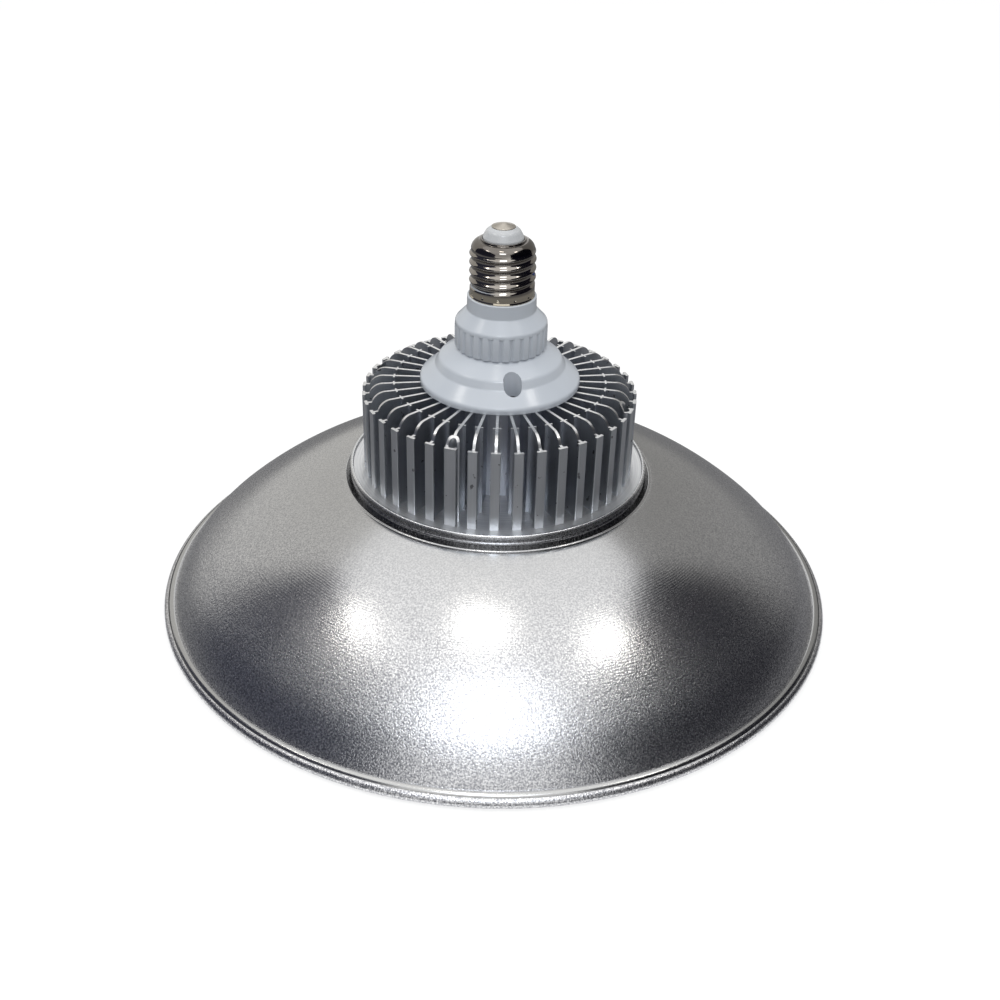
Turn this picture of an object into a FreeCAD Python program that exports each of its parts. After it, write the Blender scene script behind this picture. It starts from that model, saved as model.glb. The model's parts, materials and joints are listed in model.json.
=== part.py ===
"""LED high bay light with an E27 cap: a spun reflector shade, a finned heat sink and a moulded cap housing.

All lengths are in millimetres. The light stands on the shade's rim with its cap up: +Z is the light's axis,
and the origin is on that axis at the level of the rim's lowest edge. Azimuths are in degrees, counted from
-Y towards +X, and the heat sink's first fin is at azimuth 0.
"""
import FreeCAD, Part
import os
from math import acos, cos, degrees, pi, radians, sin, sqrt, tan

# Levels where the pieces meet
SHADE_TOP = 57.0          # top of the shade's flat, where the base plate sits
PLATE_FLOOR = 61.3        # top of the base plate, where the heat sink stands
FIN_TOP = 99.3            # top of the heat sink, where the housing stands
COLLAR_TOP = 115.3        # top of the housing's two tiers, where its grip ring starts
SKIRT_BOTTOM = 136.5      # lower edge of the screw shell
CAP_TIP = 165.6           # tip of the centre contact

# Reflector shade: spun from sheet, with a rolled rim
RIM_R = 145.0             # outermost radius
SHEET = 1.0
CURL_R = 2.3              # radius of the rolled rim's section
CURL_STEP = 45.0          # turn between the flats that stand for the roll
SHADE_HOLE_R = 50.4
SHADE_FLAT_R = 66.8       # where the bell starts
BELL_SLOPE = 19.4         # slope of the bell at its top
BELL_UPPER_R = 174.3      # radius of the bell's upper arc
BELL_UPPER_TURN = 23.0
BELL_LOWER_R = 63.0       # radius of the bell's lower arc
BELL_LOWER_TURN = 17.4
BELL_STEPS = 2            # straight runs in each arc

# Base plate: turned aluminium
PLATE_R = 62.65
PLATE_LIP_W = 1.35
PLATE_LIP_H = 1.1
POCKET_R = 44.0           # pocket for the LED board
POCKET_DEPTH = 2.6
WIRE_HOLE_R = 5.0

# Heat sink: an aluminium extrusion with its top turned to shape
FIN_COUNT = 40
FIN_WEB = 1.1
FIN_OUTER_R = 56.5
FIN_TEE_W = 3.8
FIN_TEE_T = 1.3
FIN_TEE_TOP = 95.2
HUB_R = 30.0
HUB_BORE_R = 27.2
TURNED_R = 48.0           # where the fin tops start to curve down
TURNED_CORNER = 5.9       # radius of that curve
TURNED_STEPS = 2
CHANNEL_FIN = -2          # the first fin with a screw channel at its end
CHANNEL_COUNT = 4
CHANNEL_R = 53.6          # radius of the circle that the channels are on
CHANNEL_WALL_R = 2.65
CHANNEL_BORE_R = 1.65
CHANNEL_TEE_W = 4.8
CHANNEL_SLOT = 1.2
PORT_AZ = 12.3            # azimuth of the first of the hub's inner screw ports
PORT_COUNT = 2
PORT_R = 25.0
PORT_WALL_R = 3.1
PORT_BORE_R = 1.5
PORT_SLOT = 1.0

# Cap housing: one moulding, with two tiers, a ribbed grip ring and a neck
BASE_R = 32.8
BASE_EDGE_TOP = 100.6
TIER_R = 24.9
TIER_FOOT = 106.7
TIER_EDGE_TOP = 108.6
TIER_SLOPE = 30.0
EDGE_ROUND = 2.2          # size of the eased edge of each tier
COLLAR_R = 17.6
GRIP_R = 18.7
GRIP_RIBS = 28
GRIP_GROOVE_R = 18.15
GRIP_GROOVE = 0.3         # a groove's share of the pitch of the ribs
GRIP_AZ = 1.4             # azimuth of a groove
GRIP_TOP = 125.4
NECK_R = 13.8
NECK_FOOT = 130.5
NECK_STEPS = 2
SPIGOT_R = 12.7           # the part of the neck that the screw shell is crimped on
SPIGOT_TOP = 141.0
HOUSING_BORE_R = 14.5
HOUSING_BORE_TOP = 124.0
NECK_BORE_R = 10.8
ACCESS_R = 3.4            # bore that lets a screwdriver reach the screw
ACCESS_FLOOR = 100.9

# E27 cap
SHELL_R = 13.15
SHELL_SHOULDER = 155.8    # where the shell turns in to the insulator
SHELL_ROOF = 155.3        # inside top of the shell
INSULATOR_R = 8.2
INSULATOR_FOOT = 159.6
CONTACT_R = 4.75
CONTACT_FOOT = 164.0
CONTACT_EDGE = 0.4
CONTACT_FLAT_R = 1.6

# Housing screws
SCREW_SHANK_R = 1.45
SCREW_HEAD_R = 2.8
SCREW_HEAD_H = 1.9
SCREW_LENGTH = 12.0

# LED board and lens
PAD_T = 0.3
PAD_R = 38.0              # to the pad's corners
PAD_HOLE_R = 5.0
BOARD_R = 40.0            # to the board's corners
BOARD_SIDES = 12
BOARD_T = 1.5
LED_SIZE = (5.6, 3.0, 0.8)
LED_RINGS = ((13.0, 8), (30.0, 16))
LENS_R = 61.6
LENS_T = 1.8

# LED driver: an upright circuit board in the hub, with its parts on both faces
DRIVER_W = 26.0
DRIVER_T = 1.6
DRIVER_TOP = 121.0
CORE_W = 17.0             # ferrite core of the transformer
CORE_T = 12.5
CORE_Z = (70.0, 86.0)
CORE_LIMB = 3.0
COIL_PROUD = 2.0          # the coil stands out of the core by this
CAN_SIDES = 16
CANS = {                  # radius, height from the board's back face, and level
    "output_capacitor": (5.0, 12.0, 92.5),
    "input_capacitor": (4.0, 9.0, 104.5),
    "line_inductor": (3.5, 8.0, 113.5),
}
CASES = {                 # width, height from the board's front face, foot and head
    "switching_transistor": (10.0, 4.5, 70.0, 85.0),
    "film_capacitor": (13.0, 5.0, 88.0, 95.0),
    "bridge_rectifier": (8.0, 2.5, 99.0, 105.0),
    "fuse": (8.0, 4.0, 107.5, 112.0),
}
WIRE_R = 0.9
WIRE_SIDES = 8
LED_WIRE_X = 2.5
LED_WIRE_TOP = 68.0
CAP_WIRE_FOOT = 116.0
CAP_WIRE_HOLE_R = 2.0
NEUTRAL_X = 9.0
NEUTRAL_TOP = 147.0

AXIS = FreeCAD.Vector(0, 0, 1)
ORIGIN = FreeCAD.Vector(0, 0, 0)


def at(azimuth, radius, z=0.0):
    """The point at an azimuth, a radius and a height."""
    a = radians(azimuth)
    return FreeCAD.Vector(radius * sin(a), -radius * cos(a), z)


def ring_of(count, radius, first_azimuth=0.0):
    """Points evenly spaced on a circle about the axis."""
    return [at(first_azimuth + 360 * i / count, radius) for i in range(count)]


def turned(section):
    """A solid of revolution about the axis, from a closed half section of (radius, height) points."""
    points = [FreeCAD.Vector(r, 0, z) for r, z in section]
    return Part.Face(Part.makePolygon(points + points[:1])).revolve(ORIGIN, AXIS, 360)


def extruded(points, low, high):
    """An upright prism on a closed outline of (x, y) points."""
    corners = [FreeCAD.Vector(x, y, low) for x, y in points]
    return Part.Face(Part.makePolygon(corners + corners[:1])).extrude(FreeCAD.Vector(0, 0, high - low))


def rod(centre, radius, low, high):
    """An upright round rod about a centre, between two levels."""
    return Part.makeCylinder(radius, high - low, FreeCAD.Vector(centre.x, centre.y, low))


def block(x_range, y_range, z_range):
    """A box between two values along each of X, Y and Z."""
    size = [high - low for low, high in (x_range, y_range, z_range)]
    return Part.makeBox(*size, FreeCAD.Vector(x_range[0], y_range[0], z_range[0]))


def arc_steps(centre, radius, first, last, steps):
    """Points along an arc of a half section, ends included. Angles are from straight up, outwards."""
    angles = [radians(first + (last - first) * i / steps) for i in range(steps + 1)]
    return [(centre[0] + radius * sin(a), centre[1] + radius * cos(a)) for a in angles]


def arc_centre(start, radius, angle):
    """The centre of an arc that is at an angle from straight up at its start."""
    return start[0] - radius * sin(radians(angle)), start[1] - radius * cos(radians(angle))


PORTS = ring_of(PORT_COUNT, PORT_R, PORT_AZ)
POCKET_TOP = SHADE_TOP + POCKET_DEPTH
BOARD_TOP = POCKET_TOP - PAD_T


def reflector_shade():
    """The spun bell: a flat round its hole, two blended arcs and a rim rolled up tight."""
    slopes = (BELL_SLOPE, BELL_SLOPE + BELL_UPPER_TURN, BELL_SLOPE + BELL_UPPER_TURN + BELL_LOWER_TURN)
    radii = (BELL_UPPER_R, BELL_LOWER_R)

    def skin(depth):
        """The shade's surface at a depth under its outside, from the hole to the rim's ledge."""
        line = [(SHADE_HOLE_R, SHADE_TOP - depth)]
        line.append((SHADE_FLAT_R - depth * tan(radians(BELL_SLOPE / 2)), SHADE_TOP - depth))
        for i in range(len(radii)):
            centre = arc_centre(line[-1], radii[i] - depth, slopes[i])
            line += arc_steps(centre, radii[i] - depth, slopes[i], slopes[i + 1], BELL_STEPS)[1:]
        return line

    # Flats that touch the roll's circle from outside, so that the light rests on a true ring
    corner_r = CURL_R / cos(radians(CURL_STEP / 2))
    roll = arc_steps((RIM_R - CURL_R, CURL_R), corner_r, CURL_STEP / 2, CURL_STEP * 3 / 2, 1)
    foot = [(RIM_R, 0), (RIM_R - 2 * CURL_R, 0)]
    return turned(skin(0) + roll + foot + skin(SHEET)[::-1])


def base_plate():
    """The round plate under the fins: a raised lip, a pocket for the LED board and a hole for its wires."""
    lip_inner = PLATE_R - PLATE_LIP_W
    lip_top = PLATE_FLOOR + PLATE_LIP_H
    return turned([
        (WIRE_HOLE_R, PLATE_FLOOR),
        (lip_inner, PLATE_FLOOR),
        (lip_inner, lip_top),
        (PLATE_R, lip_top),
        (PLATE_R, SHADE_TOP),
        (POCKET_R, SHADE_TOP),
        (POCKET_R, POCKET_TOP),
        (WIRE_HOLE_R, POCKET_TOP),
    ])


def c_port(centre, wall_r, bore_r, slot, opening_azimuth):
    """A C-shaped screw port of the extrusion, as its wall and the round hole and slot to cut from it."""
    reach = wall_r + slot
    corners = [(-slot / 2, 0), (slot / 2, 0), (slot / 2, -reach), (-slot / 2, -reach)]
    mouth = extruded(corners, PLATE_FLOOR, FIN_TOP)
    mouth.rotate(ORIGIN, AXIS, opening_azimuth)
    mouth.translate(centre)
    wall = rod(centre, wall_r, PLATE_FLOOR, FIN_TOP)
    return wall, rod(centre, bore_r, PLATE_FLOOR, FIN_TOP).fuse(mouth)


def fin_slab(width):
    """A slab across X with the side outline of a fin: the lathe rounds it down to the level of the Ts."""
    drop = FIN_TOP - FIN_TEE_TOP
    last = degrees(acos((TURNED_CORNER - drop) / TURNED_CORNER))
    corner = arc_steps((TURNED_R, FIN_TOP - TURNED_CORNER), TURNED_CORNER, 0, last, TURNED_STEPS)
    root = (HUB_R + HUB_BORE_R) / 2
    tip = FIN_OUTER_R - FIN_TEE_T
    side = [(root, FIN_TOP)] + corner + [(tip, FIN_TEE_TOP), (tip, PLATE_FLOOR), (root, PLATE_FLOOR)]
    outline = [FreeCAD.Vector(-width / 2, -r, z) for r, z in side]
    return Part.Face(Part.makePolygon(outline + outline[:1])).extrude(FreeCAD.Vector(width, 0, 0))


def fin(tee_width):
    """One fin along -Y: a thin web that ends in a T."""
    half = tee_width / 2
    tee = block((-half, half), (-FIN_OUTER_R, -FIN_OUTER_R + FIN_TEE_T), (PLATE_FLOOR, FIN_TEE_TOP))
    return fin_slab(FIN_WEB).fuse(tee)


def fin_with_channel():
    """A fin whose T is wider and carries a C-shaped screw channel, open to one side."""
    wall, hole = c_port(at(0, CHANNEL_R), CHANNEL_WALL_R, CHANNEL_BORE_R, CHANNEL_SLOT, 90)
    return fin(CHANNEL_TEE_W).fuse(wall.common(fin_slab(2 * CHANNEL_WALL_R))).cut(hole)


def heat_sink():
    """A hub with radial fins and two inner screw ports."""
    plain = fin(FIN_TEE_W)
    channelled = fin_with_channel()
    fins = []
    for i in range(FIN_COUNT):
        has_channel = (i - CHANNEL_FIN) % (FIN_COUNT // CHANNEL_COUNT) == 0
        copy = channelled.copy() if has_channel else plain.copy()
        copy.rotate(ORIGIN, AXIS, 360 * i / FIN_COUNT)
        fins.append(copy)
    hub = rod(ORIGIN, HUB_R, PLATE_FLOOR, FIN_TOP).cut(rod(ORIGIN, HUB_BORE_R, PLATE_FLOOR, FIN_TOP))
    for i, centre in enumerate(PORTS):
        wall, hole = c_port(centre, PORT_WALL_R, PORT_BORE_R, PORT_SLOT, PORT_AZ + 360 * i / PORT_COUNT + 180)
        hub = hub.fuse(wall).cut(hole)
    return hub.multiFuse(fins).removeSplitter()


def grip_ring():
    """The ribbed ring: flat ribs with narrow grooves between them."""
    pitch = 360 / GRIP_RIBS
    half_groove = GRIP_GROOVE * pitch / 2
    outline = []
    for i in range(GRIP_RIBS):
        groove = GRIP_AZ + pitch * i
        outline.append(at(groove - half_groove, GRIP_R))
        outline.append(at(groove, GRIP_GROOVE_R))
        outline.append(at(groove + half_groove, GRIP_R))
    ring = extruded([(p.x, p.y) for p in outline], COLLAR_TOP, GRIP_TOP)
    return ring.cut(rod(ORIGIN, HOUSING_BORE_R, COLLAR_TOP, GRIP_TOP))


def cap_housing():
    """The moulding that joins the heat sink to the cap, with a bore down to each of its two screws."""
    slope = tan(radians(TIER_SLOPE))
    round_drop = EDGE_ROUND * cos(radians(TIER_SLOPE))
    base_round = (BASE_R - EDGE_ROUND / 2, BASE_EDGE_TOP + round_drop)
    tier_round = (TIER_R - EDGE_ROUND / 2, TIER_EDGE_TOP + round_drop)
    neck = arc_steps((NECK_R, GRIP_TOP), NECK_FOOT - GRIP_TOP, 90, 0, NECK_STEPS)
    body = turned([
        (HOUSING_BORE_R, FIN_TOP),
        (BASE_R, FIN_TOP),
        (BASE_R, BASE_EDGE_TOP),
        base_round,
        (TIER_R, TIER_FOOT),
        (TIER_R, TIER_EDGE_TOP),
        tier_round,
        (COLLAR_R, tier_round[1] + slope * (tier_round[0] - COLLAR_R)),
        (COLLAR_R, GRIP_TOP),
    ] + neck + [
        (NECK_R, SKIRT_BOTTOM),
        (SPIGOT_R, SKIRT_BOTTOM),
        (SPIGOT_R, SPIGOT_TOP),
        (NECK_BORE_R, SPIGOT_TOP),
        (NECK_BORE_R, HOUSING_BORE_TOP),
        (HOUSING_BORE_R, HOUSING_BORE_TOP),
    ])
    holes = []
    for centre in PORTS:
        holes.append(rod(centre, ACCESS_R, ACCESS_FLOOR, COLLAR_TOP))
        holes.append(rod(centre, SCREW_SHANK_R, FIN_TOP, ACCESS_FLOOR))
    return body.fuse(grip_ring()).cut(Part.makeCompound(holes)).removeSplitter()


def screw_shell():
    """The cap's metal shell, without its thread: a sleeve that turns in to the insulator."""
    return turned([
        (SPIGOT_R, SKIRT_BOTTOM),
        (SHELL_R, SKIRT_BOTTOM),
        (SHELL_R, SHELL_SHOULDER),
        (INSULATOR_R, INSULATOR_FOOT),
        (CAP_WIRE_HOLE_R, INSULATOR_FOOT),
        (CAP_WIRE_HOLE_R, SHELL_ROOF),
        (SPIGOT_R, SHELL_ROOF),
    ])


def cap_insulator():
    """The insulator between shell and contact."""
    return turned([
        (CAP_WIRE_HOLE_R, INSULATOR_FOOT),
        (INSULATOR_R, INSULATOR_FOOT),
        (CONTACT_R, CONTACT_FOOT),
        (CAP_WIRE_HOLE_R, CONTACT_FOOT),
    ])


def centre_contact():
    """The centre contact, a shallow pointed disc."""
    return turned([
        (0, CONTACT_FOOT),
        (CONTACT_R, CONTACT_FOOT),
        (CONTACT_R, CONTACT_FOOT + CONTACT_EDGE),
        (CONTACT_FLAT_R, CAP_TIP),
        (0, CAP_TIP),
    ])


def housing_screws():
    """The pan-head screws that hold the housing to the heat sink's ports."""
    screws = []
    for centre in PORTS:
        shank = rod(centre, SCREW_SHANK_R, ACCESS_FLOOR - SCREW_LENGTH, ACCESS_FLOOR)
        screws.append(shank.fuse(rod(centre, SCREW_HEAD_R, ACCESS_FLOOR, ACCESS_FLOOR + SCREW_HEAD_H)))
    return Part.makeCompound(screws)


def lens():
    """The flat diffusing disc under the shade's flat."""
    return rod(ORIGIN, LENS_R, SHADE_TOP - SHEET - LENS_T, SHADE_TOP - SHEET)


def polygon_disc(corner_r, low, high):
    """A flat many-sided disc about the axis."""
    return extruded([(p.x, p.y) for p in ring_of(BOARD_SIDES, corner_r)], low, high)


def thermal_pad():
    """The soft pad between the LED board and the pocket, open round the wires."""
    return polygon_disc(PAD_R, BOARD_TOP, POCKET_TOP).cut(polygon_disc(PAD_HOLE_R, BOARD_TOP, POCKET_TOP))


def led_board():
    """The LEDs' metal-core circuit board."""
    return polygon_disc(BOARD_R, BOARD_TOP - BOARD_T, BOARD_TOP)


def led_packages():
    """The LEDs, in rings, each with its long side across the radius."""
    length, width, height = LED_SIZE
    top = BOARD_TOP - BOARD_T
    leds = []
    for radius, count in LED_RINGS:
        for i in range(count):
            depth = (-radius - width / 2, -radius + width / 2)
            led = block((-length / 2, length / 2), depth, (top - height, top))
            led.rotate(ORIGIN, AXIS, 360 * (i + 0.5) / count)
            leds.append(led)
    return Part.makeCompound(leds)


def driver_board():
    """The driver's circuit board, which stands on the base plate."""
    return block((-DRIVER_W / 2, DRIVER_W / 2), (0, DRIVER_T), (PLATE_FLOOR, DRIVER_TOP))


def transformer():
    """The driver's transformer: a coil former through a rectangular ferrite core."""
    half = CORE_W / 2
    inner = half - CORE_LIMB
    back = DRIVER_T + CORE_T
    core = block((-half, half), (DRIVER_T, back), CORE_Z)
    coil_z = (CORE_Z[0] + CORE_LIMB, CORE_Z[1] - CORE_LIMB)
    coil = block((-inner, inner), (DRIVER_T, back + COIL_PROUD), coil_z)
    return core.fuse(coil)


def many_sided_rod(start, direction, radius, sides):
    """A rod with flat sides, from a point along X, Y or Z, with an edge towards each of the other two."""
    axis = FreeCAD.Vector(direction).normalize()
    first = FreeCAD.Vector(axis.z, axis.x, axis.y)
    second = axis.cross(first)
    corners = []
    for i in range(sides):
        turn = 2 * pi * i / sides
        corners.append(start + first * (radius * cos(turn)) + second * (radius * sin(turn)))
    return Part.Face(Part.makePolygon(corners + corners[:1])).extrude(direction)


def can_on_board(radius, height, z):
    """A can that stands out from the middle of the board's back face."""
    return many_sided_rod(FreeCAD.Vector(0, DRIVER_T, z), FreeCAD.Vector(0, height, 0), radius, CAN_SIDES)


def case_on_board(width, thickness, low, high):
    """A boxy component on the middle of the board's front face."""
    return block((-width / 2, width / 2), (-thickness, 0), (low, high))


def wire(x, y, low, high):
    """A straight insulated wire, upright."""
    return many_sided_rod(FreeCAD.Vector(x, y, low), FreeCAD.Vector(0, 0, high - low), WIRE_R, WIRE_SIDES)


def led_wires():
    """The two wires from the driver down through the base plate to the LED board."""
    places = (-LED_WIRE_X, LED_WIRE_X)
    return Part.makeCompound([wire(x, DRIVER_T + WIRE_R, BOARD_TOP, LED_WIRE_TOP) for x in places])


def live_wire():
    """The wire from the driver to the centre contact."""
    return wire(0, -WIRE_R, CAP_WIRE_FOOT, CONTACT_FOOT)


def neutral_wire():
    """The wire from the driver to the inside of the screw shell."""
    rise = wire(NEUTRAL_X, -WIRE_R, CAP_WIRE_FOOT, NEUTRAL_TOP)
    start = FreeCAD.Vector(NEUTRAL_X, -WIRE_R, NEUTRAL_TOP - 2 * WIRE_R)
    reach = sqrt(SPIGOT_R ** 2 - (2 * WIRE_R) ** 2) - NEUTRAL_X
    return rise.fuse(many_sided_rod(start, FreeCAD.Vector(reach, 0, 0), WIRE_R, WIRE_SIDES)).removeSplitter()


NODES = {
    "reflector_shade": reflector_shade(),
    "lens": lens(),
    "base_plate": base_plate(),
    "thermal_pad": thermal_pad(),
    "led_board": led_board(),
    "led_packages": led_packages(),
    "heat_sink": heat_sink(),
    "cap_housing": cap_housing(),
    "housing_screws": housing_screws(),
    "screw_shell": screw_shell(),
    "cap_insulator": cap_insulator(),
    "centre_contact": centre_contact(),
    "driver_board": driver_board(),
    "transformer": transformer(),
    "led_wires": led_wires(),
    "live_wire": live_wire(),
    "neutral_wire": neutral_wire(),
}
NODES.update({name: can_on_board(*size) for name, size in CANS.items()})
NODES.update({name: case_on_board(*size) for name, size in CASES.items()})
os.makedirs("parts", exist_ok=True)
for name, shape in NODES.items():
    shape.exportStep("parts/" + name + ".step")
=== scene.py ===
"""The looks of the high bay light: turned, extruded and moulded pieces over the CAD frame, with their
materials, in a white studio. Sections and sizes of the pieces are in millimetres, and every mesh is written
in metres. A section is a list of (r, z) points, and azimuths are in degrees from -Y towards +X.
"""
import bpy
import bmesh
import json
from math import acos, asin, cos, degrees, hypot, pi, radians, sin, sqrt, tan
from mathutils import Matrix, Vector


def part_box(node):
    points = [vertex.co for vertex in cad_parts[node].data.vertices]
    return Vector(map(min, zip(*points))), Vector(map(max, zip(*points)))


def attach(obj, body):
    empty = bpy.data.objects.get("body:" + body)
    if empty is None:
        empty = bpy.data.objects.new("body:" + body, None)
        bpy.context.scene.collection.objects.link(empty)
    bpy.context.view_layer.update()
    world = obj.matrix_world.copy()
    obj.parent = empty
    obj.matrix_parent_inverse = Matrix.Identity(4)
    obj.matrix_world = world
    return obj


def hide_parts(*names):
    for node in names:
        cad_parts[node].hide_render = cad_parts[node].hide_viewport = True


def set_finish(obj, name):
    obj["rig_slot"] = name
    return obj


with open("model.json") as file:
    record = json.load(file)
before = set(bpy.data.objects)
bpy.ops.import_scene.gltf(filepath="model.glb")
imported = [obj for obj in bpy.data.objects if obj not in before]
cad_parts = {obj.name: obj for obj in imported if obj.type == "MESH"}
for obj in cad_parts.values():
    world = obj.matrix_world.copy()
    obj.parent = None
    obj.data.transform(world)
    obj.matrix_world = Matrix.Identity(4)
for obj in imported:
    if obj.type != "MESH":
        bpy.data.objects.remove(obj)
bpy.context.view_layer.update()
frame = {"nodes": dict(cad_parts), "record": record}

MM = 0.001
BODY = "root"


def top_of(node):
    """Height of a CAD node's top, in millimetres."""
    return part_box(node)[1].z / MM


def foot_of(node):
    """Height of a CAD node's foot, in millimetres."""
    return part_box(node)[0].z / MM


def reach_of(node):
    """Largest distance of a CAD node from the axis along X, in millimetres."""
    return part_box(node)[1].x / MM


# ---------------------------------------------------------------- levels and radii, from the frame
RIM_R = reach_of("reflector_shade")
SHADE_TOP = top_of("reflector_shade")
PLATE_R = reach_of("base_plate")
LIP_TOP = top_of("base_plate")
POCKET_TOP = top_of("thermal_pad")
PLATE_FLOOR = foot_of("heat_sink")
FIN_TOP = top_of("heat_sink")
FIN_OUTER_R = reach_of("heat_sink")
BASE_R = reach_of("cap_housing")
SPIGOT_TOP = top_of("cap_housing")
SCREW_FOOT = foot_of("housing_screws")
SKIRT_BOTTOM = foot_of("screw_shell")
SHELL_R = reach_of("screw_shell")
INSULATOR_R = reach_of("cap_insulator")
INSULATOR_FOOT = foot_of("cap_insulator")
CONTACT_FOOT = foot_of("centre_contact")
CONTACT_R = reach_of("centre_contact")
CAP_TIP = top_of("centre_contact")
LENS_R = reach_of("lens")
LENS_FOOT = foot_of("lens")
LENS_TOP = top_of("lens")


# ---------------------------------------------------------------- mesh helpers
DOUBLE_GAP = 1e-4         # vertices closer than this are one
FILLET_SHARE = 0.49       # the most of a side that one fillet takes


def at(azimuth, radius, z=0.0):
    """The point at an azimuth, a radius and a height."""
    a = radians(azimuth)
    return Vector((radius * sin(a), -radius * cos(a), z))


def link(name, data):
    """A new object in the scene for a mesh, a lamp or a camera."""
    obj = bpy.data.objects.new(name, data)
    bpy.context.scene.collection.objects.link(obj)
    return obj


def shade_by_angle(bm, sharp):
    """Shades a bmesh smooth, apart from the edges that turn by more than a sharp angle."""
    for face in bm.faces:
        face.smooth = True
    for edge in bm.edges:
        edge.smooth = len(edge.link_faces) == 2 and edge.calc_face_angle(0) < radians(sharp)


def to_object(name, bm, sharp):
    """Turns a bmesh in millimetres into a smooth-shaded object in metres."""
    bmesh.ops.recalc_face_normals(bm, faces=bm.faces)
    bmesh.ops.scale(bm, vec=(MM, MM, MM), verts=bm.verts)
    shade_by_angle(bm, sharp)
    mesh = bpy.data.meshes.new(name)
    bm.to_mesh(mesh)
    bm.free()
    return link(name, mesh)


def piece(name, bm, replaced, slot, sharp):
    """Makes a bmesh in millimetres a piece on the light's body, in place of a CAD node where one is given."""
    bmesh.ops.remove_doubles(bm, verts=bm.verts, dist=DOUBLE_GAP)
    obj = to_object(name, bm, sharp)
    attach(obj, BODY)
    if replaced:
        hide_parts(replaced)
    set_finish(obj, slot)
    return obj


def smooth_step(value, low, high):
    """0 below low, 1 above high and a smooth blend between."""
    t = min(1.0, max(0.0, (value - low) / (high - low)))
    return t * t * (3 - 2 * t)


def filleted(corners, steps=4):
    """A closed section with its corners rounded.

    Each corner is (r, z, fillet), and a fillet of 0 stays sharp.
    """
    points = []
    count = len(corners)
    for i, (r, z, radius) in enumerate(corners):
        if radius == 0:
            points.append((r, z))
            continue
        here = Vector((r, z))
        back = Vector(corners[i - 1][:2]) - here
        ahead = Vector(corners[(i + 1) % count][:2]) - here
        half = back.angle(ahead) / 2
        cut = min(radius / tan(half), FILLET_SHARE * back.length, FILLET_SHARE * ahead.length)
        radius = cut * tan(half)
        centre = here + (back.normalized() + ahead.normalized()).normalized() * (radius / sin(half))
        start = here + back.normalized() * cut - centre
        end = here + ahead.normalized() * cut - centre
        turn = start.angle_signed(end)
        for k in range(steps + 1):
            a = -turn * k / steps
            points.append((
                centre.x + start.x * cos(a) - start.y * sin(a),
                centre.y + start.x * sin(a) + start.y * cos(a),
            ))
    return points


def arc(centre, radius, first, last, steps):
    """Points along an arc of a section, ends included. Angles are in degrees from straight up, outwards."""
    angles = [radians(first + (last - first) * i / steps) for i in range(steps + 1)]
    return [(centre[0] + radius * sin(a), centre[1] + radius * cos(a)) for a in angles]


def arc_centre(start, radius, angle):
    """The centre of an arc that is at an angle from straight up at its start."""
    return start[0] - radius * sin(radians(angle)), start[1] - radius * cos(radians(angle))


def skin(bm, rings):
    """Faces between each ring of vertices and the next. A ring of one vertex is a pole."""
    for low, high in zip(rings, rings[1:]):
        count = max(len(low), len(high))
        if count == 1:
            continue
        for i in range(count):
            j = (i + 1) % count
            corners = [low[i % len(low)], low[j % len(low)], high[j % len(high)], high[i % len(high)]]
            bm.faces.new(list(dict.fromkeys(corners)))


def lathe(bm, section, sides, first=0, closed=True):
    """Turns a section about the axis from a first azimuth.

    A radius is a number or a function of azimuth and height, and a radius of 0 makes a pole.
    """
    azimuths = [first + 360 * i / sides for i in range(sides)]
    rings = []
    for r, z in section:
        if callable(r):
            rings.append([bm.verts.new(at(azimuth, r(azimuth, z), z)) for azimuth in azimuths])
        elif r > 0:
            rings.append([bm.verts.new(at(azimuth, r, z)) for azimuth in azimuths])
        else:
            rings.append([bm.verts.new((0, 0, z))])
    skin(bm, rings + rings[:1] if closed else rings)


def turned_piece(name, section, replaced, slot, sides, sharp):
    """A piece that is one closed section turned about the axis."""
    bm = bmesh.new()
    lathe(bm, section, sides)
    return piece(name, bm, replaced, slot, sharp)


def prism(bm, outline, low, high):
    """The sides of an upright prism on (x, y) points. Levels are numbers or functions of x and y."""
    def level(z, x, y):
        return z(x, y) if callable(z) else z
    bottom = [bm.verts.new((x, y, level(low, x, y))) for x, y in outline]
    top = [bm.verts.new((x, y, level(high, x, y))) for x, y in outline]
    skin(bm, [bottom, top])
    return bottom, top


def rod(bm, centre, radius, low, high, sides):
    """A plain closed upright rod."""
    turns = [2 * pi * i / sides for i in range(sides)]
    outline = [(centre.x + radius * cos(a), centre.y + radius * sin(a)) for a in turns]
    bottom, top = prism(bm, outline, low, high)
    bm.faces.new(bottom[::-1])
    bm.faces.new(top)


def strip_prism(bm, left, right, low, high):
    """A closed upright prism between two matching rows of (x, y) points, with strips for its top and foot."""
    bottom, top = prism(bm, left + right[::-1], low, high)
    last = 2 * len(left) - 1
    for ring in (bottom, top):
        for i in range(len(left) - 1):
            bm.faces.new((ring[i], ring[i + 1], ring[last - i - 1], ring[last - i]))


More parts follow.
